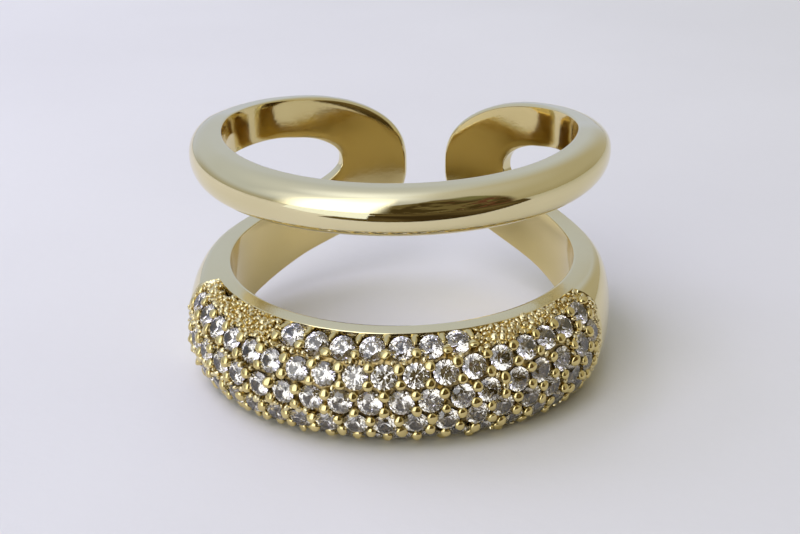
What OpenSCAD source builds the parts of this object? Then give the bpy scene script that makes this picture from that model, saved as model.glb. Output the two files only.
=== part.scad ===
// Open double-band ring, one casting: a plain domed upper band and a wider
// domed lower band run side by side round the finger and join at the back in
// two rounded ends with a gap between them. The front of the lower band has a
// shallow pocket that holds a paved layer of small stones.
// Millimetres, +Z up. The finger hole's axis is Z, the origin is at its
// middle height, and the middle of the front is on -Y.

/* [Finger hole] */
// Inside diameter of the ring
bore_d = 17.3; // [16:0.1:19.5]
// Gap between the two ends, as an angle round the hole
gap_angle = 14; // [10:1:20]

/* [Bands at the front] */
// Height of the plain upper band
upper_h = 2.1; // [1.8:0.05:2.4]
// Height of the open slot between the bands
slot_h = 4.65; // [4.4:0.05:5]
// Height of the paved lower band
lower_h = 5.15; // [4.8:0.05:5.5]
// Wall of the upper band at its crest
upper_wall = 1.65; // [1.4:0.05:1.9]
// Wall of the paved band at its crest
paved_wall = 2.7; // [2.4:0.05:2.9]

/* [Back and ends] */
// Wall of both bands where they join
back_wall = 1.38; // [1.2:0.02:1.5]
// Angle from the front at which the bands start to join
join_angle = 133; // [130:1:136]
// Width of each end plate, from the slot to its tip, as an angle
plate_angle = 24.4; // [22:0.2:28]
// Height of the end plates where the bands start to join
plate_h = 9.06; // [8.7:0.02:9.4]

/* [Stone setting] */
// Paved length to each side of the front, as an angle
pave_angle = 69; // [60:1:75]
// Depth of the pocket that holds the stones
pocket_depth = 0.5; // [0.4:0.05:0.6]
// Gap between the stones and the pocket
seat_gap = 0.05; // [0.04:0.01:0.08]

/* [Hidden] */

bore_r = bore_d / 2;
total_h = upper_h + slot_h + lower_h;
z_top = total_h / 2;              // upper rim at the front
z_slot_top = z_top - upper_h;     // under side of the upper band
z_slot_low = z_slot_top - slot_h; // top side of the lower band
z_low = -total_h / 2;             // rim that the ring lies on

tip_angle = 180 - gap_angle / 2;
slot_end_angle = tip_angle - plate_angle;
z_plate = 0.67;                   // middle height of the end plates
z_slot_end = 1.22;                // height of the slot's round end

// How the bands change from the front to the join. Each row is
// [angle, drop of the upper rim, drop of the slot's top, rise of the slot's
//  floor, rise of the lower rim, upper wall share, lower wall share,
//  lip of the lower band on its slot side]; a wall share of 1 is the
// front wall and 0 is back_wall, and a lip is a share of the wall.
TAPER = [
    [  0,            0,    0,    0,    0,    1,    1,    0.30],
    [ 30,            0,    0,    0,    0,    1,    1,    0.30],
    [ 55,            0,    0,    0,    0,    0.93, 0.91, 0.33],
    [ 70,            0,    0,    0,    0,    0.85, 0.62, 0.41],
    [ 80,            0.01, 0.02, 0,    0.02, 0.82, 0.48, 0.46],
    [ 90,            0.05, 0.09, 0,    0.46, 0.80, 0.38, 0.49],
    [102,            0.23, 0.25, 0,    1.13, 0.74, 0.30, 0.52],
    [112,            0.38, 0.39, 0.05, 1.36, 0.59, 0.24, 0.53],
    [122,            0.53, 0.58, 0.18, 1.66, 0.37, 0.13, 0.57],
    [join_angle,     0.75, 0.93, 0.46, 2.09, 0,    0,    0.62]
];
TOP = 1; SLOT_TOP = 2; SLOT_LOW = 3; LOW = 4; UPPER = 5; LOWER = 6; LIP = 7;
LAST = len(TAPER) - 1;

upper_lip = 0.60;    // flat side wall on the slot side of the upper band
outer_lip = 0.32;    // flat side wall on the outer rims
dome_power = 2.1;    // 2 is an ellipse, more is fuller
draft = 0.03;        // slope of the flat side walls of the slot
inner_r = bore_r - 0.4;
relief = 0.03;       // depth of the relief inside the end plates
relief_h = 2.6;      // height of the relief, less than the slot's at the join
z_relief = 1.3;      // middle height of the relief

// Smooth curve through one column of the table, with no overshoot
function rate(c, k) = (TAPER[k+1][c] - TAPER[k][c]) / (TAPER[k+1][0] - TAPER[k][0]);
function slope(c, k) = k == 0 ? 0 : k == LAST ? rate(c, k - 1) :
    let (p = rate(c, k - 1), q = rate(c, k)) p * q <= 0 ? 0 : 2 * p * q / (p + q);
function row_at(a, k = 0) = (k >= LAST - 1 || a < TAPER[k+1][0]) ? k : row_at(a, k + 1);
function taper(a, c) = let (k = row_at(a), h = TAPER[k+1][0] - TAPER[k][0],
        u = (a - TAPER[k][0]) / h)
    (2*u*u*u - 3*u*u + 1) * TAPER[k][c] + (u*u*u - 2*u*u + u) * h * slope(c, k)
    + (3*u*u - 2*u*u*u) * TAPER[k+1][c] + (u*u*u - u*u) * h * slope(c, k + 1);

// A station is one section across the band, as
// [slot angle, slot z, rim angle, rim z, wall, slot lip, pocket depth]
function upper_station(a) = let (b = abs(a)) [a, z_slot_top - taper(b, SLOT_TOP),
    a, z_top - taper(b, TOP), back_wall + (upper_wall - back_wall) * taper(b, UPPER), upper_lip, 0];
function lower_station(a, d = 0) = let (b = abs(a)) [a, z_slot_low + taper(b, SLOT_LOW),
    a, z_low + taper(b, LOW), back_wall + (paved_wall - back_wall) * taper(b, LOWER), taper(b, LIP), d];
// Round end on one side, turning from the upper band (t = 90) to the lower (t = -90);
// the plate narrows towards its tip, by a little more for each degree below than above
function bow(t, p) = sign(sin(t)) * pow(abs(sin(t)), 2/p);
function reach(t, p) = pow(max(cos(t), 0), 2/p);
function end_station(side, t) = let (
        xo = reach(t, 2.7), xi = reach(t, 2.3),
        half_slot = t > 0 ? z_slot_top - TAPER[LAST][SLOT_TOP] - z_slot_end
                          : z_slot_end - z_slot_low - TAPER[LAST][SLOT_LOW],
        lead = (90 - t) / 180)
    [side * (join_angle + (slot_end_angle - join_angle) * xi),
     z_slot_end + (half_slot - 0.030 * (slot_end_angle - join_angle) * xi) * bow(t, 2.3),
     side * (join_angle + (tip_angle - join_angle) * xo),
     z_plate + (plate_h / 2 - (t > 0 ? 0.023 : 0.036) * (tip_angle - join_angle) * xo) * bow(t, 2.7),
     back_wall - 0.15 * cos(t), upper_lip + (TAPER[LAST][LIP] - upper_lip) * lead, 0];

// Height of the domed outside over the hole's wall, t runs 0 to 180 across the band
function dome(t, lip) = let (w = (1 - cos(t)) / 2, e = lip + (outer_lip - lip) * w)
    e + (1 - e) * pow(max(1 - pow(abs(2*w - 1), dome_power), 0), 1/dome_power);
function across(t) = draft + (1 - draft) * (1 - cos(t)) / 2;
// Angle, z and radius of an outside point, sunk by d square to the surface
function flat_point(s, t) = let (v = across(t))
    [s[0] + (s[2] - s[0]) * v, s[1] + (s[3] - s[1]) * v, bore_r + s[4] * dome(t, s[5])];
function sunk_point(s, t, d) = let (p = flat_point(s, t), q1 = flat_point(s, t - 1),
        q2 = flat_point(s, t + 1), dz = q2[1] - q1[1], dr = q2[2] - q1[2], l = norm([dz, dr]))
    [p[0], p[1] + d * dr * sign(dz) / l, p[2] - d * abs(dz) / l];
function place(p) = [p[2] * sin(p[0]), -p[2] * cos(p[0]), p[1]];

// Section parameter values: rim, pocket edge, pocket floor, pocket edge, rim
pocket_t = 4;        // where the pocket starts, close to the flat side wall
wall_t = 2.5;        // run of the pocket's side wall
floor_n = 10;
FLOOR_T = [for (k = [0:floor_n]) let (a = pocket_t + wall_t)
    90 - (90 - a) * cos(180 * k / floor_n) * (0.75 + 0.25 * pow(cos(180 * k / floor_n), 2))];
function section(s) = [for (p = concat(
        [[s[0], s[1], inner_r]],
        [flat_point(s, 0), flat_point(s, pocket_t / 2), flat_point(s, pocket_t)],
        [for (t = FLOOR_T) s[6] > 0 ? sunk_point(s, t, s[6]) : flat_point(s, t)],
        [flat_point(s, 180 - pocket_t), flat_point(s, 180 - pocket_t / 2), flat_point(s, 180)],
        [[s[2], s[3], inner_r]])) place(p)];

// Stations once round the whole casting
band_n = 52;
end_n = 16;
side_n = 14;
front_n = 32;
pocket_a = pave_angle - 0.5;
STATIONS = concat(
    [for (i = [0:band_n]) upper_station(-join_angle + 2 * join_angle * i / band_n)],
    [for (i = [1:end_n-1]) end_station(1, 90 - 180 * i / end_n)],
    [for (i = [0:side_n]) lower_station(join_angle + (pave_angle - join_angle) * i / side_n)],
    [for (i = [0:front_n]) lower_station(pocket_a - 2 * pocket_a * i / front_n, pocket_depth)],
    [for (i = [0:side_n]) lower_station(-pave_angle + (pave_angle - join_angle) * i / side_n)],
    [for (i = [1:end_n-1]) end_station(-1, -90 + 180 * i / end_n)]);

// Closed skin over rings of points; the row of rings closes on itself or has caps
module skin(rings, closed) {
    n = len(rings); m = len(rings[0]);
    last = closed ? n - 1 : n - 2;
    polyhedron(points = [for (r = rings) each r],
        faces = concat(
            [for (i = [0:last]) let (k = (i + 1) % n) for (j = [0:m-1]) let (l = (j + 1) % m)
                each [[i*m + j, i*m + l, k*m + l], [i*m + j, k*m + l, k*m + j]]],
            closed ? [] : [for (j = [1:m-2]) [0, j + 1, j]],
            closed ? [] : [for (j = [1:m-2]) [(n-1)*m, (n-1)*m + j, (n-1)*m + j + 1]]),
        convexity = 8);
}

// The finger hole: a straight wall in each band, and between them a slight
// relief on the inside of the end plates
module bore() {
    rotate_extrude($fn = 180)
        polygon([[0, -total_h], [bore_r, -total_h], [bore_r, z_relief - relief_h / 2],
            [bore_r + relief, z_relief], [bore_r, z_relief + relief_h / 2],
            [bore_r, total_h], [0, total_h]]);
}

// Both bands and both ends in one piece, bored to the finger size
module ring_body() {
    color([0.86, 0.78, 0.52])
    difference() {
        skin([for (s = STATIONS) section(s)], true);
        bore();
    }
}

// The layer of set stones, flush with the dome and clear of the pocket all round
stone_a = pocket_a - 0.4;
STONE_T = [for (k = [0:floor_n]) let (a = pocket_t + wall_t + 1.6)
    90 - (90 - a) * cos(180 * k / floor_n) * (0.75 + 0.25 * pow(cos(180 * k / floor_n), 2))];
function stone_section(s) = [for (p = concat(
        [for (t = STONE_T) flat_point(s, t)],
        [for (k = [floor_n:-1:0]) sunk_point(s, STONE_T[k], pocket_depth - seat_gap)])) place(p)];
module pave_stones() {
    color([0.86, 0.88, 0.92])
    skin([for (i = [0:front_n]) stone_section(lower_station(stone_a - 2 * stone_a * i / front_n))], false);
}

ring_body();
pave_stones();
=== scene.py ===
"""Looks of an open double-band ring: a polished pale gold casting, set with small
round stones held by beads, lying on a plain pale floor."""

import math

import bpy
import numpy as np
from mathutils import Matrix, Vector


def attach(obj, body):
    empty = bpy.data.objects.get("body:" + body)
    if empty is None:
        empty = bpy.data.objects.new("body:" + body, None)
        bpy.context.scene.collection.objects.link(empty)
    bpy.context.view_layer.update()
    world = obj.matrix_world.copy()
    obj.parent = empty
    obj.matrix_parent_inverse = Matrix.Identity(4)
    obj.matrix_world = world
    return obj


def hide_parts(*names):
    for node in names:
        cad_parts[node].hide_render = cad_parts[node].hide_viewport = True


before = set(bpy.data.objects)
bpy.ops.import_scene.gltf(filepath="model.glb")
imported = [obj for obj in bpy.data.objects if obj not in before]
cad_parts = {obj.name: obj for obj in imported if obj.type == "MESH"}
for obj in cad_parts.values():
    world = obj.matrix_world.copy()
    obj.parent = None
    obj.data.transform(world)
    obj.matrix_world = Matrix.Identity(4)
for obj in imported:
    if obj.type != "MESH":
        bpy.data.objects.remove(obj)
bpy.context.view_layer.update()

MM = 0.001
rng = np.random.default_rng(11)

# ---------------------------------------------------------------- shape of the casting
BORE_R = 8.65
Z_SLOT_TOP, Z_SLOT_LOW = 3.85, -0.80
Z_TOP, Z_LOW = 5.95, -5.95
JOIN, TIP, SLOT_END = 133.0, 173.0, 148.6
Z_PLATE, Z_SLOT_END, PLATE_H = 0.67, 1.22, 9.06
BACK_WALL, UPPER_WALL, PAVED_WALL = 1.38, 1.65, 2.70
UPPER_LIP, OUTER_LIP, POWER, DRAFT = 0.60, 0.32, 2.1, 0.03

# angle, drop of upper rim, drop of slot top, rise of slot floor, rise of lower rim,
# upper wall share, lower wall share, lower slot-side lip
TAPER = np.array([
    [0, 0, 0, 0, 0, 1, 1, 0.30],
    [30, 0, 0, 0, 0, 1, 1, 0.30],
    [55, 0, 0, 0, 0, 0.93, 0.91, 0.33],
    [70, 0, 0, 0, 0, 0.85, 0.62, 0.41],
    [80, 0.01, 0.02, 0, 0.02, 0.82, 0.48, 0.46],
    [90, 0.05, 0.09, 0, 0.46, 0.80, 0.38, 0.49],
    [102, 0.23, 0.25, 0, 1.13, 0.74, 0.30, 0.52],
    [112, 0.38, 0.39, 0.05, 1.36, 0.59, 0.24, 0.53],
    [122, 0.53, 0.58, 0.18, 1.66, 0.37, 0.13, 0.57],
    [133, 0.75, 0.93, 0.46, 2.09, 0, 0, 0.62],
])


def curve(x, xs, ys):
    """Smooth curve through points with no overshoot, flat at its start."""
    xs, ys = np.asarray(xs, float), np.asarray(ys, float)
    x = np.clip(np.asarray(x, float), xs[0], xs[-1])
    rate = np.diff(ys) / np.diff(xs)
    m = np.zeros(len(xs))
    m[-1] = rate[-1]
    p, q = rate[:-1], rate[1:]
    m[1:-1] = np.where(p * q > 0, 2 * p * q / np.where(p + q == 0, 1, p + q), 0)
    k = np.clip(np.searchsorted(xs, x, side="right") - 1, 0, len(xs) - 2)
    h = xs[k + 1] - xs[k]
    u = (x - xs[k]) / h
    return ((2 * u**3 - 3 * u**2 + 1) * ys[k] + (u**3 - 2 * u**2 + u) * h * m[k]
            + (3 * u**2 - 2 * u**3) * ys[k + 1] + (u**3 - u**2) * h * m[k + 1])


def taper(a, c):
    return curve(np.abs(a), TAPER[:, 0], TAPER[:, c])


# a station is slot angle, slot z, rim angle, rim z, wall, slot-side lip
def upper_station(a):
    a = np.atleast_1d(np.asarray(a, float))
    return np.stack([a, Z_SLOT_TOP - taper(a, 2), a, Z_TOP - taper(a, 1),
                     BACK_WALL + (UPPER_WALL - BACK_WALL) * taper(a, 5),
                     np.full_like(a, UPPER_LIP)], -1)


def lower_station(a):
    a = np.atleast_1d(np.asarray(a, float))
    return np.stack([a, Z_SLOT_LOW + taper(a, 3), a, Z_LOW + taper(a, 4),
                     BACK_WALL + (PAVED_WALL - BACK_WALL) * taper(a, 6),
                     taper(a, 7)], -1)


def end_station(side, t):
    t = np.asarray(t, float)
    s, c = np.sin(np.radians(t)), np.clip(np.cos(np.radians(t)), 0, None)
    xo, xi = c ** (2 / 2.7), c ** (2 / 2.3)
    yo, yi = np.sign(s) * np.abs(s) ** (2 / 2.7), np.sign(s) * np.abs(s) ** (2 / 2.3)
    half = np.where(t > 0, Z_SLOT_TOP - TAPER[-1, 2] - Z_SLOT_END,
                    Z_SLOT_END - Z_SLOT_LOW - TAPER[-1, 3])
    return np.stack([
        side * (JOIN + (SLOT_END - JOIN) * xi),
        Z_SLOT_END + (half - 0.030 * (SLOT_END - JOIN) * xi) * yi,
        side * (JOIN + (TIP - JOIN) * xo),
        Z_PLATE + (PLATE_H / 2 - np.where(t > 0, 0.023, 0.036) * (TIP - JOIN) * xo) * yo,
        BACK_WALL - 0.15 * c,
        UPPER_LIP + (TAPER[-1, 7] - UPPER_LIP) * (90 - t) / 180], -1)


def dome(t, lip):
    w = (1 - np.cos(np.radians(t))) / 2
    e = lip + (OUTER_LIP - lip) * w
    return e + (1 - e) * np.clip(1 - np.abs(2 * w - 1) ** POWER, 0, None) ** (1 / POWER)


def across(t):
    return DRAFT + (1 - DRAFT) * (1 - np.cos(np.radians(t))) / 2


FLAT_STEP = 0.033      # mm of the flat side for each degree of t below 0


def flat_point(s, t):
    """(angle, z, r) of outside points; s is (..., 6), t broadcasts against it.
    A t below 0 runs inwards on the flat side towards the hole."""
    t = np.asarray(t, float)
    up = np.maximum(t, 0)
    lip = s[..., 4] * s[..., 5]
    share = np.clip(1 + FLAT_STEP * np.minimum(t, 0) / lip, 0, 1)
    v = np.where(t < 0, DRAFT * share, across(up))
    return (s[..., 0] + (s[..., 2] - s[..., 0]) * v, s[..., 1] + (s[..., 3] - s[..., 1]) * v,
            np.where(t < 0, BORE_R + lip * share, BORE_R + s[..., 4] * dome(up, s[..., 5])))


def place(ang, z, r):
    a = np.radians(ang)
    return np.stack([r * np.sin(a), -r * np.cos(a), z + 0 * a], -1)


def on_dome(psi, t, sink=0.0):
    """Point and outward normal on the lower band's outside, sunk inwards, in mm."""
    psi, t = np.broadcast_arrays(np.asarray(psi, float), np.asarray(t, float))
    shape = psi.shape
    ps, ts = psi.ravel(), t.ravel()

    def at(p, q):
        return place(*flat_point(lower_station(p), q))
    e = 0.25
    c = at(ps, ts)
    dp = at(ps + e, ts) - at(ps - e, ts)
    dt = at(ps, np.minimum(ts + e, 180)) - at(ps, ts - e)
    n = np.cross(dp, dt)
    n /= np.linalg.norm(n, axis=1)[:, None] + 1e-12
    radial = c * [1, 1, 0]
    mid = np.array([0, 0, (Z_SLOT_LOW + Z_LOW) / 2])
    out = radial / np.linalg.norm(radial, axis=1)[:, None] * 0.5 + (c - mid) * [0, 0, 0.6]
    n *= np.sign((n * out).sum(1))[:, None]
    p = c - n * np.broadcast_to(np.asarray(sink, float), shape).ravel()[:, None]
    return p.reshape(shape + (3,)), n.reshape(shape + (3,))


# ---------------------------------------------------------------- mesh helpers
def mesh_object(name, verts, faces, material, smooth=True, loops=None):
    me = bpy.data.meshes.new(name)
    verts = np.asarray(verts, np.float32).reshape(-1, 3) * MM
    faces = np.asarray(faces, np.int32)
    k = faces.shape[1]
    me.vertices.add(len(verts))
    me.vertices.foreach_set("co", verts.ravel())
    me.loops.add(faces.size)
    me.loops.foreach_set("vertex_index", faces.ravel())
    me.polygons.add(len(faces))
    me.polygons.foreach_set("loop_start", np.arange(0, faces.size, k, dtype=np.int32))
    me.polygons.foreach_set("loop_total", np.full(len(faces), k, np.int32))
    me.polygons.foreach_set("use_smooth", np.full(len(faces), smooth))
    me.update(calc_edges=True)
    me.validate()
    ob = bpy.data.objects.new(name, me)
    ob.data.materials.append(material)
    bpy.context.scene.collection.objects.link(ob)
    return ob


def grid_faces(n, m, close_n, close_m):
    i = np.arange(n if close_n else n - 1)
    j = np.arange(m if close_m else m - 1)
    i, j = np.meshgrid(i, j, indexing="ij")
    i2, j2 = (i + 1) % n, (j + 1) % m
    return np.stack([i * m + j, i * m + j2, i2 * m + j2, i2 * m + j], -1).reshape(-1, 4)


# ---------------------------------------------------------------- where the stones sit
PITCH, SHIFT = 7.05, 1.4
STONE_R = 0.572
# rows: first index offset, stones to each side, and t against angle on each side
LEAN = (13.0, 0.0, -10.0, -8.0, 0.0)    # how each row leans from the dome's own slope, in degrees of t
ROWS = [
    # half step?, count each side, step, right (angle, t), left (angle, t)
    (0.0, 3, 7.35, ([0, 2, 9, 17, 24], [22.5, 22, 21, 19.5, 14]), ([0, 6, 13, 21], [24, 24.5, 23, 15.5])),
    (0.5, 9, PITCH, ([0, 12, 19, 26, 33, 40, 47, 55, 63], [60, 58.5, 56, 54, 49.5, 46, 42, 38, 36]),
     ([0, 16, 24, 31, 38, 45, 52, 60], [61.5, 61.5, 59.5, 56.5, 53, 49.5, 46.5, 44])),
    (0.0, 9, PITCH, ([0, 8, 15, 22, 30, 37, 44, 50, 57, 66], [91, 89, 87.5, 85.5, 83, 79.5, 77, 75, 73.5, 72]),
     ([0, 12, 20, 34, 41, 48, 60], [91, 92, 92, 89.5, 87.5, 86.5, 83])),
    (0.5, 9, PITCH, ([0, 13, 20, 27, 47, 62], [121, 117.5, 114.5, 111.5, 102, 99]),
     ([0, 10, 17, 24, 34, 45, 60], [121, 124, 127, 129, 128, 126, 122])),
    (0.0, 8, PITCH, ([0, 20, 40, 58], [152, 147, 136, 128]), ([0, 20, 40, 58], [152, 155, 156, 152])),
]


def row_t(row, psi):
    r, l = ROWS[row][3], ROWS[row][4]
    return np.where(psi >= 0, curve(np.abs(psi), *r), curve(np.abs(psi), *l))


def step_angle(pitch, k):
    """Angle of the k-th place in a row; the places spread a little at the right end."""
    a = pitch * k
    return SHIFT + a + 0.1 * max(a - 50.0, 0.0)


stone_at = []          # (row, psi, t)
for row, (half, count, pitch, _, _) in enumerate(ROWS):
    ks = np.arange(-count, count + 1) if half == 0 else np.arange(-count, count) + 0.5
    for k in ks:
        psi = step_angle(pitch, k) + 0.25 * rng.normal()
        stone_at.append((row, psi, float(row_t(row, np.array(psi))) + 0.5 * rng.normal()))
stone_at = np.array(stone_at)
stone_p = on_dome(stone_at[:, 1], stone_at[:, 2], 0.19)[0]
stone_n = on_dome(stone_at[:, 1], stone_at[:, 2] + np.array(LEAN)[stone_at[:, 0].astype(int)])[1]

# the paved area's end lines, a little slanted: angle against t
END_R = ([0, 20, 45, 90, 180], [68.3, 69.0, 70.3, 71.0, 70.0])
END_L = ([0, 20, 45, 90, 180], [61.8, 62.8, 65.0, 67.5, 67.0])
POCKET_T = -4.6        # the pocket starts on the flat side, short of the dome


def end_line(side, t):
    return curve(t, *(END_R if side > 0 else END_L))


# ---------------------------------------------------------------- materials
def new_material(name):
    m = bpy.data.materials.new(name)
    m.use_nodes = True
    nt = m.node_tree
    nt.nodes.clear()
    out = nt.nodes.new("ShaderNodeOutputMaterial")
    bsdf = nt.nodes.new("ShaderNodeBsdfPrincipled")
    nt.links.new(bsdf.outputs["BSDF"], out.inputs["Surface"])
    return m, nt, bsdf, out


def noise(nt, scale, detail=2.0, rough=0.5, vector=None, distortion=0.0):
    n = nt.nodes.new("ShaderNodeTexNoise")
    n.inputs["Scale"].default_value = scale
    n.inputs["Detail"].default_value = detail
    n.inputs["Roughness"].default_value = rough
    n.inputs["Distortion"].default_value = distortion
    if vector is not None:
        nt.links.new(vector, n.inputs["Vector"])
    return n


def ramp(nt, fac, lo, hi, a, b):
    """Map a 0..1 input from lo..hi to a..b, clamped."""
    r = nt.nodes.new("ShaderNodeMapRange")
    r.inputs["From Min"].default_value = lo
    r.inputs["From Max"].default_value = hi
    r.inputs["To Min"].default_value = a
    r.inputs["To Max"].default_value = b
    nt.links.new(fac, r.inputs["Value"])
    return r.outputs["Result"]


def colour_mix(nt, fac, a, b):
    m = nt.nodes.new("ShaderNodeMix")
    m.data_type = "RGBA"
    m.inputs["A"].default_value = (*a, 1)
    m.inputs["B"].default_value = (*b, 1)
    nt.links.new(fac, m.inputs["Factor"])
    return m.outputs["Result"]


def gold(name, pale, deep, rough_lo, rough_hi, wave, grain, grain_scale):
    m, nt, bsdf, _ = new_material(name)
    tc = nt.nodes.new("ShaderNodeTexCoord")
    obj = tc.outputs["Object"]
    broad = noise(nt, 160, 3, 0.55, obj)
    nt.links.new(colour_mix(nt, ramp(nt, broad.outputs["Fac"], 0.35, 0.65, 0, 1), pale, deep),
                 bsdf.inputs["Base Color"])
    fine = noise(nt, 1500, 4, 0.6, obj)
    nt.links.new(ramp(nt, fine.outputs["Fac"], 0.3, 0.7, rough_lo, rough_hi), bsdf.inputs["Roughness"])
    bsdf.inputs["Metallic"].default_value = 1.0
    bsdf.inputs["IOR"].default_value = 1.45
    # polishing: long soft waves, and fine marks on top
    soft = noise(nt, 420, 1, 0.4, obj)
    marks = noise(nt, grain_scale, 3, 0.6, obj)
    b1 = nt.nodes.new("ShaderNodeBump")
    b1.inputs["Distance"].default_value = wave
    b1.inputs["Strength"].default_value = 1.0
    nt.links.new(soft.outputs["Fac"], b1.inputs["Height"])
    b2 = nt.nodes.new("ShaderNodeBump")
    b2.inputs["Distance"].default_value = grain
    b2.inputs["Strength"].default_value = 1.0
    nt.links.new(marks.outputs["Fac"], b2.inputs["Height"])
    nt.links.new(b1.outputs["Normal"], b2.inputs["Normal"])
    nt.links.new(b2.outputs["Normal"], bsdf.inputs["Normal"])
    return m


m_gold = gold("polished_gold", (0.80, 0.71, 0.425), (0.775, 0.68, 0.395), 0.035, 0.07, 1.0e-5, 0.8e-6, 5200)
# a darker, deeper copy of the polished gold for the hole's wall: painted shade
m_inner_painted_shade = gold("inner_gold_painted_shade", (0.72, 0.595, 0.285), (0.69, 0.56, 0.255), 0.06, 0.11, 1.2e-5, 1.5e-6, 5200)
m_side = gold("side_gold", (0.80, 0.71, 0.425), (0.775, 0.68, 0.395), 0.13, 0.20, 2.0e-5, 2.0e-6, 5200)
# the setting's floor among the stones: gold painted much darker, as shade between the stones and beads
m_bed_painted_shade = gold("setting_gold_painted_shade", (0.36, 0.27, 0.12), (0.20, 0.15, 0.06), 0.22, 0.36, 4.0e-5, 6.0e-6, 6000)
# seats and channel: gold painted nearly black, as shade in the deep recesses
m_recess_painted_shade = gold("recess_gold_painted_shade", (0.13, 0.10, 0.045), (0.07, 0.05, 0.022), 0.30, 0.45, 3.0e-5, 6.0e-6, 6000)
# the beads: a darker, deeper copy of the polished gold, painted shade among the stones
m_bead_painted_shade = gold("bead_gold_painted_shade", (0.73, 0.60, 0.27), (0.66, 0.53, 0.225), 0.035, 0.08, 3.0e-5, 3.0e-6, 6000)
m_fine = gold("grain_gold", (0.79, 0.685, 0.40), (0.71, 0.60, 0.32), 0.14, 0.24, 2.0e-5, 4.0e-6, 7000)


def stone_material():
    m, nt, bsdf, _ = new_material("clear_stone")
    tc = nt.nodes.new("ShaderNodeTexCoord")
    tint = noise(nt, 700, 1, 0.5, tc.outputs["Object"])
    nt.links.new(colour_mix(nt, ramp(nt, tint.outputs["Fac"], 0.4, 0.6, 0, 1),
                            (0.73, 0.69, 0.62), (0.62, 0.585, 0.515)), bsdf.inputs["Base Color"])
    dust = noise(nt, 4000, 2, 0.5, tc.outputs["Object"])
    nt.links.new(ramp(nt, dust.outputs["Fac"], 0.55, 0.8, 0.0, 0.06), bsdf.inputs["Roughness"])
    bsdf.inputs["Transmission Weight"].default_value = 1.0
    bsdf.inputs["IOR"].default_value = 1.95
    bsdf.inputs["Metallic"].default_value = 0.0
    return m


m_stone = stone_material()


def floor_material():
    m, nt, bsdf, _ = new_material("pale_floor")
    tc = nt.nodes.new("ShaderNodeTexCoord")
    obj = tc.outputs["Object"]
    cloud = noise(nt, 26, 3, 0.5, obj)
    nt.links.new(colour_mix(nt, ramp(nt, cloud.outputs["Fac"], 0.35, 0.65, 0, 1),
                            (0.635, 0.615, 0.527), (0.665, 0.645, 0.553)), bsdf.inputs["Base Color"])
    bsdf.inputs["Roughness"].default_value = 0.55
    bsdf.inputs["Specular IOR Level"].default_value = 0.25
    peel = noise(nt, 900, 3, 0.55, obj)
    b = nt.nodes.new("ShaderNodeBump")
    b.inputs["Distance"].default_value = 4e-5
    b.inputs["Strength"].default_value = 0.6
    nt.links.new(peel.outputs["Fac"], b.inputs["Height"])
    nt.links.new(b.outputs["Normal"], bsdf.inputs["Normal"])
    return m


m_floor = floor_material()

# ---------------------------------------------------------------- the casting
EDGE_R, EDGE_Z = (0.15, 0.32), (0.06, 0.17)    # easing of the hole's edges along the flat side and down
                                               # the hole, at the front and at the back
OUT_T = np.linspace(0, 180, 61)


def bore_side(s, n_wall=5):
    """(v, r) of the eased edges and the hole's wall from the rim back to the slot, for stations s."""
    width = np.maximum(np.hypot(s[:, 3] - s[:, 1], np.radians(s[:, 2] - s[:, 0]) * BORE_R), 0.5)[:, None]
    th = np.radians(np.linspace(0, 90, 9))[None]
    k = np.clip((np.abs(s[:, 2:3]) - 105) / 40, 0, 1)
    k = k * k * (3 - 2 * k)
    ease_r, ease_z = EDGE_R[0] + (EDGE_R[1] - EDGE_R[0]) * k, EDGE_Z[0] + (EDGE_Z[1] - EDGE_Z[0]) * k
    drop, run = (ease_z / width) * (1 - np.cos(th)), ease_r * (1 - np.sin(th))
    v1, r1 = 1 - drop, BORE_R + run
    v0, r0 = (EDGE_Z[0] / width) * (1 - np.cos(th))[:, ::-1], np.broadcast_to(
        BORE_R + EDGE_R[0] * (1 - np.sin(th))[:, ::-1], (len(s), 9))
    # the flat side slopes a little, so the slot's edge starts part of the way up it
    v0 = v0 + DRAFT * EDGE_R[0] / (s[:, 4:5] * s[:, 5:6])
    k = np.linspace(0, 1, n_wall + 2)[None, 1:-1]
    vm = v1[:, -1:] + (v0[:, :1] - v1[:, -1:]) * k
    rm = np.full_like(vm, BORE_R)
    return np.concatenate([v1, vm, v0], 1), np.concatenate([r1, rm, r0], 1)


def casting_rings(s, t_grid, sink_depth):
    """Points of whole sections, (stations, profile, 3). t_grid is (stations, k)."""
    ang, z, r = flat_point(s[:, None, :], t_grid)
    p = place(ang, z, r)
    if sink_depth is not None:
        e = 0.5
        q1 = flat_point(s[:, None, :], t_grid - e)
        q2 = flat_point(s[:, None, :], np.minimum(t_grid + e, 180))
        dz, dr = q2[1] - q1[1], q2[2] - q1[2]
        length = np.hypot(dz, dr) + 1e-9
        p = place(ang, z + sink_depth * dr * np.sign(dz) / length, r - sink_depth * np.abs(dz) / length)
    v, rb = bore_side(s)
    ang_b = s[:, 0:1] + (s[:, 2:3] - s[:, 0:1]) * v
    z_b = s[:, 1:2] + (s[:, 3:4] - s[:, 1:2]) * v
    return np.concatenate([p, place(ang_b, z_b, rb)], 1)


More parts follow.
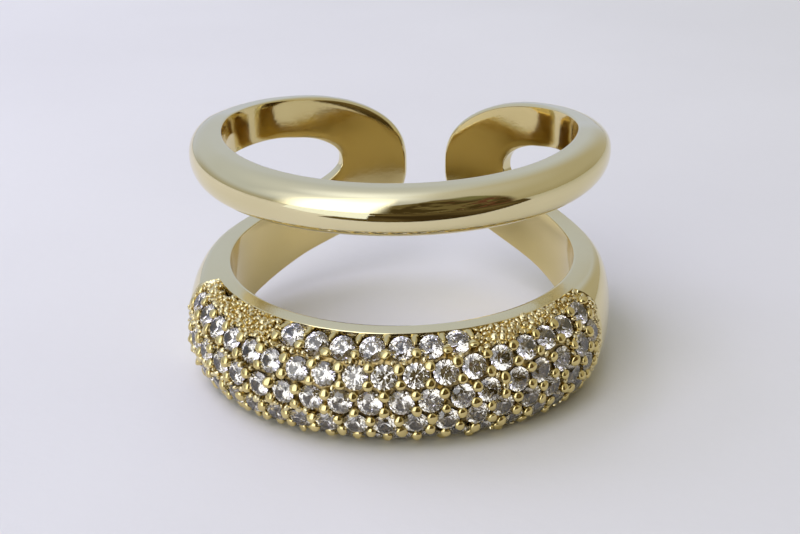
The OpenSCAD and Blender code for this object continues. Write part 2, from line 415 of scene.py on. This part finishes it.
def build_casting():
    upper = upper_station(np.linspace(-JOIN, JOIN, 331))
    u = np.linspace(-1, 1, 75)[1:-1]
    te = 90 * np.sign(u) * (1 - (1 - np.abs(u)) ** 1.5)
    right = end_station(1, -te)
    left = end_station(-1, te)
    wr, wl = 74.0, -71.0
    lo1 = np.linspace(JOIN, wr, 70)[:-1]
    lo2 = np.linspace(wr, wl, 420)
    lo3 = np.linspace(wl, -JOIN, 70)[1:]
    lower = lower_station(np.concatenate([lo1, lo2, lo3]))
    s = np.concatenate([upper, right, lower[1:-1], left])
    t = np.broadcast_to(OUT_T, (len(s), len(OUT_T))).copy()
    # gather profile points at the pocket's edges
    paved = np.concatenate([np.zeros(len(upper) + len(right), bool),
                            np.abs(lower[1:-1, 0] - 1.5) < 76, np.zeros(len(left), bool)])
    p = POCKET_T
    tp = np.concatenate([[p - 0.3, p, p + 0.35, p + 0.8, p + 1.1, p + 1.3, p + 1.7],
                         np.linspace(0, 171.5, len(OUT_T) - 12),
                         [173.2, 173.5, 173.9, 174.9, 180]])
    cut = np.array([0, 0, 0.006, 0.022, 0.042, 0.5] + [0.92] * (len(OUT_T) - 9) + [0.06, 0.0, 0.0])
    t[paved] = tp
    beyond = np.abs(lower[1:-1, 0] - 1.5)
    back = np.clip((beyond - 72.5) / 22, 0, 1)[:, None]
    back = back * back * (3 - 2 * back)
    first = len(upper) + len(right)
    t[first:first + len(back)] = tp + (OUT_T - tp) * back
    depth = np.zeros_like(t)
    a = s[paved, 0][:, None]
    gate_r = np.clip((end_line(1, np.maximum(tp, 0))[None] - a) / 0.35, 0, 1)
    gate_l = np.clip((a + end_line(-1, np.maximum(tp, 0))[None]) / 0.35, 0, 1)
    depth[paved] = cut[None] * gate_r * gate_l
    rings = casting_rings(s, t, depth)
    n, m = rings.shape[:2]
    ob = mesh_object("ring_casting", rings.reshape(-1, 3), grid_faces(n, m, True, True)[:, ::-1], m_gold)
    # the hole's wall is less polished than the outside, and its gold is painted darker and deeper as shade
    ob.data.materials.append(m_inner_painted_shade)
    k = len(OUT_T)
    j = np.arange(n * m) % m
    index = ((j >= k + 7) & (j < m - 8)).astype(np.int32)
    ob.data.materials.append(m_side)
    on_pocket = np.concatenate([np.zeros(len(upper) + len(right), bool), paved[len(upper) + len(right):]])
    index[(j == m - 1) | ((j <= 1) & np.repeat(on_pocket, m))] = 2
    ob.data.polygons.foreach_set("material_index", index)
    return ob


casting = build_casting()


# ---------------------------------------------------------------- the setting's floor
def smooth_step(x):
    x = np.clip(x, 0, 1)
    return x * x * (3 - 2 * x)


def hills(p, k, seed):
    """A cheap smooth noise of position, -1 to 1."""
    r = np.random.default_rng(seed)
    w = r.normal(size=(7, 3)) * k
    ph = r.random(7) * 6.28
    return sum(np.sin(p @ w[i] + ph[i]) for i in range(7)) / 7 * 1.8


def build_bed():
    n_a, n_t = 390, 124
    # t rows spaced evenly along the dome
    tt = np.concatenate([[POCKET_T + 2.4, POCKET_T + 3.4], np.linspace(0, 173.2, n_t - 2)])
    u = np.linspace(0, 1, n_a)[:, None]
    a_r, a_l = end_line(1, np.maximum(tt, 0))[None] - 0.35, -end_line(-1, np.maximum(tt, 0))[None] + 0.35
    psi = a_l + (a_r - a_l) * u
    t = np.broadcast_to(tt, psi.shape)
    top, nrm = on_dome(psi, t, 0.0)
    d = np.full(psi.shape, 0.29)
    # seats
    flat = top.reshape(-1, 3)
    seat = np.zeros(len(flat))
    for p, n in zip(stone_p, stone_n):
        near = np.linalg.norm(flat - p, axis=1) < 1.0
        v = flat[near] - p
        rho = np.linalg.norm(v - (v @ n)[:, None] * n, axis=1)
        rim = STONE_R + 0.035
        well = np.where(rho < rim, 0.04 + 0.46 * (1 - rho / rim), 0)
        well = well * smooth_step((rim - rho) / 0.05 + 0.2)
        seat[near] = np.maximum(seat[near], well)
    d += seat.reshape(psi.shape)
    # channel along the flat rim beside the first row; beyond it the floor rises to the grained strips
    d += 0.27 * smooth_step((12 - t) / 4) * smooth_step((29 - np.abs(psi - SHIFT)) / 3)
    gash = smooth_step((7 - t) / 3) * smooth_step((4.5 - np.abs(psi + 52.5)) / 1.5)
    d += 0.20 * gash
    strip = smooth_step((row_t(1, psi) - 13.0 - t) / 8) * smooth_step((np.abs(psi - SHIFT) - 27) / 3) * (1 - gash)
    past = np.maximum(smooth_step((psi - 66.5) / 1.5), smooth_step((-62.0 - psi) / 1.5))
    strip = np.maximum(strip, past)
    d -= 0.13 * strip * (seat.reshape(psi.shape) == 0)
    d += 0.035 * hills(flat, 6.0, 3).reshape(psi.shape) + 0.02 * hills(flat, 15.0, 4).reshape(psi.shape)
    p = top - nrm * np.minimum(d, 0.87)[..., None]
    low = top - nrm * 0.89
    # closed: top grid, bottom grid, stitched round
    n, m = psi.shape
    verts = np.concatenate([p.reshape(-1, 3), low.reshape(-1, 3)])
    f_top = grid_faces(n, m, False, False)
    off = n * m
    f_low = f_top[:, ::-1] + off
    rim_ids = np.concatenate([np.arange(m), np.arange(1, n) * m + m - 1,
                              (n - 1) * m + np.arange(m - 2, -1, -1), np.arange(n - 2, 0, -1) * m])
    nxt = np.roll(rim_ids, -1)
    f_side = np.stack([rim_ids, rim_ids + off, nxt + off, nxt], -1)
    faces = np.concatenate([f_top, f_low, f_side])
    ob = mesh_object("setting_bed", verts, faces, m_bed_painted_shade)
    # seats and channel are dull, and painted nearly black as shade in these recesses
    ob.data.materials.append(m_recess_painted_shade)
    ob.data.materials.append(m_fine)
    index = np.ones(len(faces), np.int32)
    index[:len(f_top)] = np.where(d.reshape(-1)[f_top].mean(1) > 0.42, 1,
                                  np.where(strip.reshape(-1)[f_top].mean(1) > 0.6, 2, 0))
    ob.data.polygons.foreach_set("material_index", index)
    return ob


bed = build_bed()


# ---------------------------------------------------------------- stones
def brilliant():
    """A round brilliant of girdle radius 1 with its table up: points, triangles."""
    rt, hc, g, rs, rl, depth = 0.57, 0.31, 0.05, 0.79, 0.24, 0.86
    deg = np.radians
    pts = []

    def add(r, a, h):
        pts.append((r * math.cos(deg(a)), r * math.sin(deg(a)), h))
        return len(pts) - 1
    centre = add(0, 0, hc)
    table = [add(rt, 45 * k, hc) for k in range(8)]
    c22 = math.cos(deg(22.5))
    star = [add(rs, 45 * k + 22.5, hc * (1 - rs * c22) / (1 - rt)) for k in range(8)]
    up = [add(1, 22.5 * k, 0.0) for k in range(16)]
    low = [add(1, 22.5 * k, -g) for k in range(16)]
    half = [add(rl, 45 * k + 22.5, -g - depth * (1 - rl * c22)) for k in range(8)]
    culet = add(0, 0, -g - depth)
    tri = []
    for k in range(8):
        k1, u, um, u1 = (k + 1) % 8, 2 * k, 2 * k + 1, (2 * k + 2) % 16
        tri += [(centre, table[k], table[k1]), (table[k], star[k], table[k1])]
        tri += [(table[k], up[u], star[k]), (table[k1], star[k], up[u1])]
        tri += [(star[k], up[u], up[um]), (star[k], up[um], up[u1])]
        tri += [(up[u], low[u], low[um]), (up[u], low[um], up[um]),
                (up[um], low[um], low[u1]), (up[um], low[u1], up[u1])]
        tri += [(low[u], half[k], low[um]), (low[um], half[k], low[u1])]
        tri += [(low[u], culet, half[k]), (low[u1], half[k], culet)]
    return np.array(pts), np.array(tri)


def frame_at(n, spin):
    """Axes with z along n, turned by spin about it."""
    n = n / np.linalg.norm(n)
    u = np.cross([0, 0, 1.0], n)
    if np.linalg.norm(u) < 1e-3:
        u = np.cross([1.0, 0, 0], n)
    u /= np.linalg.norm(u)
    v = np.cross(n, u)
    c, s = math.cos(spin), math.sin(spin)
    return np.stack([u * c + v * s, -u * s + v * c, n])


def build_stones():
    bp, bt = brilliant()
    verts, faces = [], []
    for p, n in zip(stone_p, stone_n):
        tilt = n + rng.normal(size=3) * 0.035
        f = frame_at(tilt, rng.random() * math.pi / 4)
        r = STONE_R * (1 + rng.normal() * 0.008)
        faces.append(bt + len(verts) * len(bp))
        verts.append((bp * r) @ f + p + n * rng.normal() * 0.012)
    return mesh_object("set_stones", np.concatenate(verts), np.concatenate(faces), m_stone, smooth=False)


stones = build_stones()


# ---------------------------------------------------------------- beads
def ball(levels):
    """Points and triangles of a unit ball."""
    g = (1 + 5 ** 0.5) / 2
    p = np.array([(-1, g, 0), (1, g, 0), (-1, -g, 0), (1, -g, 0), (0, -1, g), (0, 1, g),
                  (0, -1, -g), (0, 1, -g), (g, 0, -1), (g, 0, 1), (-g, 0, -1), (-g, 0, 1)], float)
    t = np.array([(0, 11, 5), (0, 5, 1), (0, 1, 7), (0, 7, 10), (0, 10, 11), (1, 5, 9), (5, 11, 4),
                  (11, 10, 2), (10, 7, 6), (7, 1, 8), (3, 9, 4), (3, 4, 2), (3, 2, 6), (3, 6, 8),
                  (3, 8, 9), (4, 9, 5), (2, 4, 11), (6, 2, 10), (8, 6, 7), (9, 8, 1)])
    p /= np.linalg.norm(p, axis=1)[:, None]
    for _ in range(levels):
        edges, mids, new = {}, list(p), []
        for a, b, c in t:
            ids = []
            for i, j in ((a, b), (b, c), (c, a)):
                key = (min(i, j), max(i, j))
                if key not in edges:
                    m = mids[i] + mids[j]
                    edges[key] = len(mids)
                    mids.append(m / np.linalg.norm(m))
                ids.append(edges[key])
            ab, bc, ca = ids
            new += [(a, ab, ca), (b, bc, ab), (c, ca, bc), (ab, bc, ca)]
        p, t = np.array(mids), np.array(new)
    return p, t


def dome_axes(psi, t):
    """Normal, direction round the ring and direction across the band."""
    p, n = on_dome(psi, t)
    a = math.radians(psi)
    round_ = np.array([math.cos(a), math.sin(a), 0])
    round_ -= n * (round_ @ n)
    round_ /= np.linalg.norm(round_)
    return p, n, round_, np.cross(n, round_)


def build_beads(name, items, levels, material, lean, smooth=True):
    """Short posts with a flattened round top. items: (psi, t, half width round, half length across,
    height of the round top, sink of its widest place)"""
    bp, bt = ball(levels)
    z = bp[:, 2:]
    flat = np.linalg.norm(bp[:, :2], axis=1)[:, None] + 1e-9
    side = bp[:, :2] / flat
    top = z >= -1e-6
    spread = np.where(top, flat ** 0.88, flat ** 0.35)
    rise = np.where(top, np.abs(z) ** 0.88, z)
    verts, faces = [], []
    for psi, t, a, b, h, sink in items:
        p, n, e1, e2 = dome_axes(psi, t)
        turn, j = rng.random() * 6.283, rng.normal(size=4)
        if t > 30 and smooth:
            # beads low on the dome are turned up a little
            n = n + np.array([0, 0, np.clip(0.38 - n[2], 0, 0.5)])
            n /= np.linalg.norm(n)
            e1 = e1 - n * (e1 @ n)
            e1 /= np.linalg.norm(e1)
            e2 = np.cross(n, e1)
        # a little out of round, and the top leans
        ang = np.arctan2(side[:, 1:], side[:, :1])
        wobble = 1 + 0.045 * np.clip(j[0], -2, 2) * np.cos(2 * ang + turn) + 0.03 * np.cos(3 * ang + 2 * turn)
        x, y = side[:, :1] * spread * wobble, side[:, 1:] * spread * wobble
        up = rise * np.where(top, h, 0.30) + np.where(top, lean * (j[1] * x + j[2] * y) * a, 0)
        faces.append(bt + len(verts) * len(bp))
        post = x * a * e1 + y * b * e2 + up * n + p - n * sink
        # none reaches below the rim that the ring lies on
        post[:, 2] += max(0.0, Z_LOW + 0.012 - post[:, 2].min())
        verts.append(post)
    return mesh_object(name, np.concatenate(verts), np.concatenate(faces), material, smooth)


def degrees_across(mm, psi, t):
    """How many degrees of t make mm across the band there."""
    p, _ = on_dome([psi, psi], [max(t - 2, 0.1), min(t + 2, 179.9)])
    return mm * 4 / np.linalg.norm(p[1] - p[0])


BEAD_OFF = 0.385       # from the row's line to the middle of a bead


def gap_items():
    """Two beads in each gap of a row; along the rim the upper one is a prong that joins it."""
    items = []
    for row, (half, count, pitch, _, _) in enumerate(ROWS):
        ks = np.arange(-count, count + 1) if half == 0 else np.arange(-count, count) + 0.5
        for k in list(ks[:-1] + 0.5) + [ks[0] - 0.5, ks[-1] + 0.5]:
            psi = step_angle(pitch, k)
            if psi > 0 and psi > END_R[1][2] - 1.0 or psi < -(END_L[1][2] + 0.5):
                continue
            t = float(row_t(row, np.array(psi)))
            for side in (-1, 1):
                j = rng.normal(size=5)
                if row == 0 and side < 0:
                    items.append((psi + 0.1 * j[0], 5.0, 0.145 + 0.008 * j[1], 0.40, 0.10, 0.12))
                    items.append((psi + 0.1 * j[2], -1.0, 0.18 + 0.012 * j[3], 0.14, 0.05, 0.08))
                    continue
                off = side * degrees_across(BEAD_OFF, psi, t)
                r = 0.245 + 0.010 * j[2]
                items.append((psi + 0.18 * j[0], t + off + 0.5 * j[1], r, r * (1.02 + 0.03 * j[3]), 0.155,
                              0.05 + 0.012 * j[4]))
    return items


prong_items = gap_items()
prongs = build_beads("bead_prongs", prong_items, 2, m_bead_painted_shade, 0.12)


def small_bead_items():
    """Fine beads, scattered as close as they go in what the stones and the beads leave free."""
    cand = np.stack([-71 + 145 * rng.random(60000), -1.6 + 173 * rng.random(60000)], 1)
    inside = np.where(cand[:, 0] > 0, cand[:, 0] < curve(cand[:, 1], *END_R) - 0.9,
                      -cand[:, 0] < curve(cand[:, 1], *END_L) - 0.9)
    # the channel beside the first row stays open
    inside &= ~((cand[:, 1] < 14) & (np.abs(cand[:, 0] - SHIFT) < 26.5))
    cand = cand[inside]
    # between the rows there is room for few of them
    rows_from = np.where(np.abs(cand[:, 0] - SHIFT) < 26.5, -10.0, row_t(1, cand[:, 0]) - 13.0)
    amid = ((cand[:, 1] > rows_from) & (cand[:, 1] < row_t(4, cand[:, 0]) + 12)
            & (cand[:, 0] > -61.0) & (cand[:, 0] < 65.0))
    p, _ = on_dome(cand[:, 0], cand[:, 1], 0.12)
    big, _ = on_dome([i[0] for i in prong_items], [i[1] for i in prong_items], 0.12)
    d_stone = np.min(np.linalg.norm(p[:, None] - stone_p[None], axis=2), axis=1)
    d_big = np.min(np.linalg.norm(p[:, None] - big[None], axis=2), axis=1)
    free = (d_stone > STONE_R + np.where(amid, 0.165, 0.115)) & (d_big > np.where(amid, 0.335, 0.31))
    cand, p = cand[free], p[free]
    free = ~((cand[:, 1] < 7) & (np.abs(cand[:, 0] + 52.5) < 4.0))
    cand, p = cand[free], p[free]
    # larger grains first, finer ones in what they leave
    placed, items = np.zeros((0, 3)), []
    for gap, size in ((0.285, 0.142), (0.205, 0.088)):
        kept, cells = [], {}
        clear = np.ones(len(p), bool)
        if len(placed):
            clear = np.min(np.linalg.norm(p[:, None] - placed[None], axis=2), axis=1) > 0.205
        for i in np.flatnonzero(clear):
            q = p[i]
            key = tuple(np.floor(q / gap).astype(int))
            near = [m for dx in (-1, 0, 1) for dy in (-1, 0, 1) for dz in (-1, 0, 1)
                    for m in cells.get((key[0] + dx, key[1] + dy, key[2] + dz), ())]
            if all(np.linalg.norm(q - p[m]) > gap for m in near):
                cells.setdefault(key, []).append(i)
                kept.append(i)
        placed = np.concatenate([placed, p[kept]])
        for i in kept:
            j = rng.normal(size=3)
            r = size * (1 + 0.12 * np.clip(j[0], -1.8, 1.8))
            items.append((cand[i, 0], cand[i, 1], r, r * (1.05 + 0.15 * np.clip(j[1], -1.8, 1.8)), 0.10 + 0.2 * size,
                          0.09 + 0.03 * np.clip(j[2], -2, 2)))
    return items


small = build_beads("fine_beads", small_bead_items(), 1, m_fine, 0.32, smooth=False)

for piece, slot in ((casting, "polished_brass"), (bed, "polished_brass"), (stones, "clear_stones"),
                    (prongs, "polished_brass"), (small, "polished_brass")):
    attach(piece, "root")
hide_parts("ring_body")
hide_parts("pave_stones")
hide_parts("pave_stones")
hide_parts("pave_stones")
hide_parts("pave_stones")

# ---------------------------------------------------------------- floor
floor_me = bpy.data.meshes.new("floor")
h = 1.5
floor_me.from_pydata([(-h, -h, 0), (h, -h, 0), (h, h, 0), (-h, h, 0)], [], [(0, 1, 2, 3)])
floor = bpy.data.objects.new("floor", floor_me)
floor.location = (0, 0, (Z_LOW - 0.004) * MM)
floor_me.materials.append(m_floor)
bpy.context.scene.collection.objects.link(floor)

# ---------------------------------------------------------------- camera
CAM_AZ, CAM_EL, CAM_D, ROLL = 9.4, 23.757, 67.759, -0.946


def from_camera(azimuth, elevation):
    """Unit vector towards a direction, azimuth measured from the camera's own (right is positive)."""
    a, e = math.radians(azimuth + CAM_AZ), math.radians(elevation)
    return Vector((math.sin(a) * math.cos(e), -math.cos(a) * math.cos(e), math.sin(e)))


cam = bpy.data.cameras.new("camera")
cam_ob = bpy.data.objects.new("camera", cam)
bpy.context.scene.collection.objects.link(cam_ob)
turn = Matrix.Rotation(math.radians(CAM_AZ), 4, "Z")
e, roll = math.radians(CAM_EL), math.radians(ROLL)
back = Vector((0, -math.cos(e), math.sin(e)))
right, up = Vector((1, 0, 0)), Vector((0, math.sin(e), math.cos(e)))
r2 = right * math.cos(roll) + up * math.sin(roll)
u2 = -right * math.sin(roll) + up * math.cos(roll)
pos = Vector((-0.099, 0, -1.006 - 0.8)) + back * CAM_D
rot = Matrix((r2, u2, back)).transposed().to_4x4()
cam_ob.matrix_world = turn @ Matrix.Translation(pos * MM) @ rot
cam.sensor_width = 36.0
cam.lens = 1326.1 / 800 * 36.0
cam.clip_start, cam.clip_end = 0.002, 20.0
bpy.context.scene.camera = cam_ob


# ---------------------------------------------------------------- light
def ball(name, azimuth, elevation, dist, radius, power, colour):
    """A round diffuser lit from inside, which shines the same way to every side."""
    li = bpy.data.lights.new(name, "POINT")
    li.energy, li.color, li.shadow_soft_size = power, colour, radius
    ob = bpy.data.objects.new(name, li)
    ob.location = from_camera(azimuth, elevation) * dist
    bpy.context.scene.collection.objects.link(ob)
    return ob


for name, azimuth, elevation, power in (("softlight_left", -120, 45, 0.453), ("softlight_top", -50, 66, 0.279)):
    soft = ball(name, azimuth, elevation, 0.20, 0.065, power, (1.01, 1.0, 1.68))
    soft.visible_glossy = False


def on_floor(xc, yc, z):
    """A floor point from camera-side coordinates: xc to the right, yc towards the camera, in mm."""
    a = math.radians(CAM_AZ)
    x, y = xc, -yc
    return (x * math.cos(a) - y * math.sin(a)) * MM, (x * math.sin(a) + y * math.cos(a)) * MM, (Z_LOW + z) * MM


def card(name, corners, z, colour, colour2, scale):
    """A flat card on the floor in front of the ring, outside the picture, seen only in reflections."""
    me = bpy.data.meshes.new(name)
    me.from_pydata([on_floor(x, y, z) for x, y in corners], [], [tuple(range(len(corners)))[::-1]])
    ob = bpy.data.objects.new(name, me)
    m = bpy.data.materials.new(name)
    m.use_nodes = True
    nt = m.node_tree
    nt.nodes.clear()
    out = nt.nodes.new("ShaderNodeOutputMaterial")
    em = nt.nodes.new("ShaderNodeEmission")
    tc = nt.nodes.new("ShaderNodeTexCoord")
    blot = noise(nt, scale, 3, 0.6, tc.outputs["Object"], 0.8)
    nt.links.new(colour_mix(nt, ramp(nt, blot.outputs["Fac"], 0.42, 0.6, 0, 1), colour, colour2), em.inputs["Color"])
    # its under side is clear, so that the floor below it looks like the rest of the floor
    geo = nt.nodes.new("ShaderNodeNewGeometry")
    clear = nt.nodes.new("ShaderNodeBsdfTransparent")
    sides = nt.nodes.new("ShaderNodeMixShader")
    nt.links.new(geo.outputs["Backfacing"], sides.inputs["Fac"])
    nt.links.new(em.outputs[0], sides.inputs[1])
    nt.links.new(clear.outputs[0], sides.inputs[2])
    nt.links.new(sides.outputs[0], out.inputs["Surface"])
    me.materials.append(m)
    bpy.context.scene.collection.objects.link(ob)
    ob.visible_camera = ob.visible_diffuse = ob.visible_shadow = False
    return ob


card("card_dark", [(-20, 26), (58, 27), (3182, 1480), (-390, 1480), (-32, 110), (-15, 72)], 0.02,
     (0.15, 0.115, 0.055), (0.045, 0.03, 0.012), 16)
card("card_bright", [(-54, 34), (-9, 34), (-107, 400), (-640, 400)], 0.04, (1.2, 1.3, 1.5), (1.1, 1.2, 1.4), 8)


def world_shader():
    w = bpy.data.worlds.new("studio")
    bpy.context.scene.world = w
    w.use_nodes = True
    nt = w.node_tree
    nt.nodes.clear()
    out = nt.nodes.new("ShaderNodeOutputWorld")
    bg = nt.nodes.new("ShaderNodeBackground")
    nt.links.new(bg.outputs[0], out.inputs[0])
    tc = nt.nodes.new("ShaderNodeTexCoord")
    mp = nt.nodes.new("ShaderNodeMapping")
    mp.vector_type = "POINT"
    mp.inputs["Rotation"].default_value = (0, 0, math.radians(-CAM_AZ))
    nt.links.new(tc.outputs["Generated"], mp.inputs["Vector"])
    sep = nt.nodes.new("ShaderNodeSeparateXYZ")
    nt.links.new(mp.outputs["Vector"], sep.inputs[0])

    def op(kind, a, b=None):
        n = nt.nodes.new("ShaderNodeMath")
        n.operation = kind
        for i, x in enumerate((a, b)):
            if x is None:
                continue
            if isinstance(x, (int, float)):
                n.inputs[i].default_value = x
            else:
                nt.links.new(x, n.inputs[i])
        return n.outputs[0]
    az = op("MULTIPLY", op("ARCTAN2", sep.outputs["X"], op("MULTIPLY", sep.outputs["Y"], -1.0)), 180 / math.pi)
    el = op("MULTIPLY", op("ARCSINE", sep.outputs["Z"]), 180 / math.pi)

    def step(x, lo, hi):
        n = nt.nodes.new("ShaderNodeMapRange")
        n.interpolation_type = "SMOOTHSTEP"
        n.inputs["From Min"].default_value = lo
        n.inputs["From Max"].default_value = hi
        nt.links.new(x, n.inputs["Value"])
        return n.outputs["Result"]

    def band(x, lo, lo2, hi2, hi):
        return op("MULTIPLY", step(x, lo, lo2), op("SUBTRACT", 1.0, step(x, hi2, hi)))

    def over(under, fac, colour):
        n = nt.nodes.new("ShaderNodeMix")
        n.data_type = "RGBA"
        n.inputs["B"].default_value = (*colour, 1)
        nt.links.new(fac, n.inputs["Factor"])
        if isinstance(under, tuple):
            n.inputs["A"].default_value = (*under, 1)
        else:
            nt.links.new(under, n.inputs["A"])
        return n.outputs["Result"]
    # the room: cool on the left, warm and dimmer on the right, brighter overhead
    c = over((0.58, 0.64, 0.82), band(az, -30, 66, 140, 176), (0.48, 0.455, 0.37))
    low = op("MULTIPLY", op("SUBTRACT", 1.0, step(el, 0, 22)), 0.75)
    c = over(c, op("MULTIPLY", low, band(az, -150, -125, 112, 140)), (0.38, 0.35, 0.25))
    dim = op("SUBTRACT", 1.0, op("MULTIPLY", step(sep.outputs["X"], -0.20, 0.25), 0.6))
    c = over(c, op("MULTIPLY", step(el, 30, 84), dim), (0.80, 0.86, 1.08))
    c = over(c, op("MULTIPLY", step(el, 56, 82), op("SUBTRACT", 1.0, step(sep.outputs["X"], -0.25, 0.25))),
             (1.30, 1.42, 1.78))
    # the window's light on the left wall
    c = over(c, op("MULTIPLY", band(az, -96, -60, -55, -40), band(el, 8, 45, 70, 90)), (1.05, 1.12, 1.35))
    # warm dark things straight ahead and to the right, their edge slanting to the right above
    lean = op("SUBTRACT", az, op("MULTIPLY", step(el, 34, 74), 42))
    inner = noise(nt, 3.4, 3, 0.6, mp.outputs["Vector"], 0.6)
    spots = noise(nt, 5.5, 2, 0.5, mp.outputs["Vector"], 1.2)
    dark = over((0.17, 0.14, 0.07), step(inner.outputs["Fac"], 0.46, 0.56), (0.06, 0.042, 0.016))
    dark = over(dark, op("MULTIPLY", step(spots.outputs["Fac"], 0.50, 0.58), step(az, 22, 40)), (0.13, 0.055, 0.035))
    dark = over(dark, op("MULTIPLY", step(el, 32, 50), step(az, 30, 44)), (0.19, 0.19, 0.105))
    body = op("MULTIPLY", op("MULTIPLY", step(lean, -13, -5), op("SUBTRACT", 1.0, step(az, 57, 63))),
              op("SUBTRACT", 1.0, step(el, 58, 68)))
    n = nt.nodes.new("ShaderNodeMix")
    n.data_type = "RGBA"
    nt.links.new(body, n.inputs["Factor"])
    nt.links.new(c, n.inputs["A"])
    nt.links.new(dark, n.inputs["B"])
    c = n.outputs["Result"]
    # the window
    left = step(az, -70, -50)
    right_edge = op("SUBTRACT", 1.0, step(op("SUBTRACT", az, op("MULTIPLY", el, 0.14)), -20, -9))
    upper = op("SUBTRACT", 1.0, step(el, 48, 88))
    c = over(c, op("MULTIPLY", op("MULTIPLY", left, right_edge), upper), (2.3, 2.35, 2.45))
    nt.links.new(c, bg.inputs["Color"])
    bg.inputs["Strength"].default_value = 1.0


world_shader()

sc = bpy.context.scene
sc.view_settings.view_transform = "Standard"
sc.view_settings.look = "None"
sc.view_settings.exposure = 0.0
sc.view_settings.gamma = 1.0
sc.cycles.use_denoising = True
sc.cycles.max_bounces = 16
sc.cycles.glossy_bounces = 10
sc.cycles.transmission_bounces = 14
sc.cycles.diffuse_bounces = 4
sc.cycles.sample_clamp_indirect = 6.0
sc.cycles.blur_glossy = 0.3
